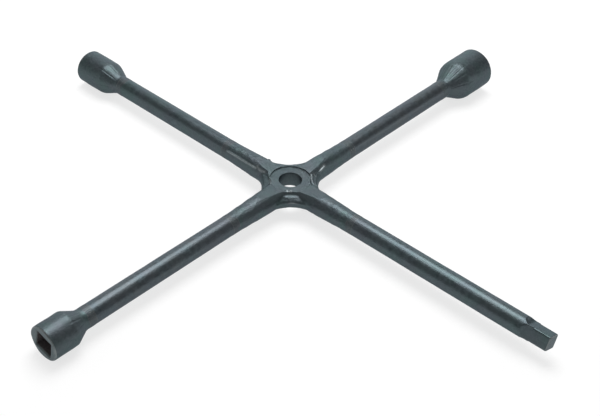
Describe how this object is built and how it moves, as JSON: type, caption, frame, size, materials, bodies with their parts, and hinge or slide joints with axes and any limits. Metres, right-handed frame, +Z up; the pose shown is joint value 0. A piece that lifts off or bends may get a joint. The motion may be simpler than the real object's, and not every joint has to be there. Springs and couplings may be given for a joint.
{
  "type": "four-way lug wrench",
  "caption": "Cross-shaped wheel nut wrench in dark steel, with two hexagon sockets, a square socket and a square drive on round arms.",
  "frame": {"origin": "middle of the eye through the hub, which is also the middle of the whole wrench", "axes": "+Z up along the eye, square to the four arms; +X along the arm with the square drive; +Y along the arm with the large hexagon socket"},
  "size_m": [0.674, 0.674, 0.0484],
  "materials": {
    "forged_hub": "blackened forged steel, satin",
    "bar": "blackened drawn steel bar, satin",
    "socket": "blackened forged steel, satin",
    "weld": "weld metal dressed flush and blackened"
  },
  "bodies": {
    "root": {"hub_forging": "forged_hub", "drive_bar": "bar", "large_socket_bar": "bar", "medium_socket_bar": "bar", "square_socket_bar": "bar", "large_hex_socket": "socket", "medium_hex_socket": "socket", "square_hole_socket": "socket", "hub_weld_1": "weld", "hub_weld_2": "weld", "hub_weld_3": "weld", "hub_weld_4": "weld", "socket_weld_1": "weld", "socket_weld_2": "weld", "socket_weld_3": "weld"}
  },
  "joints": []
}
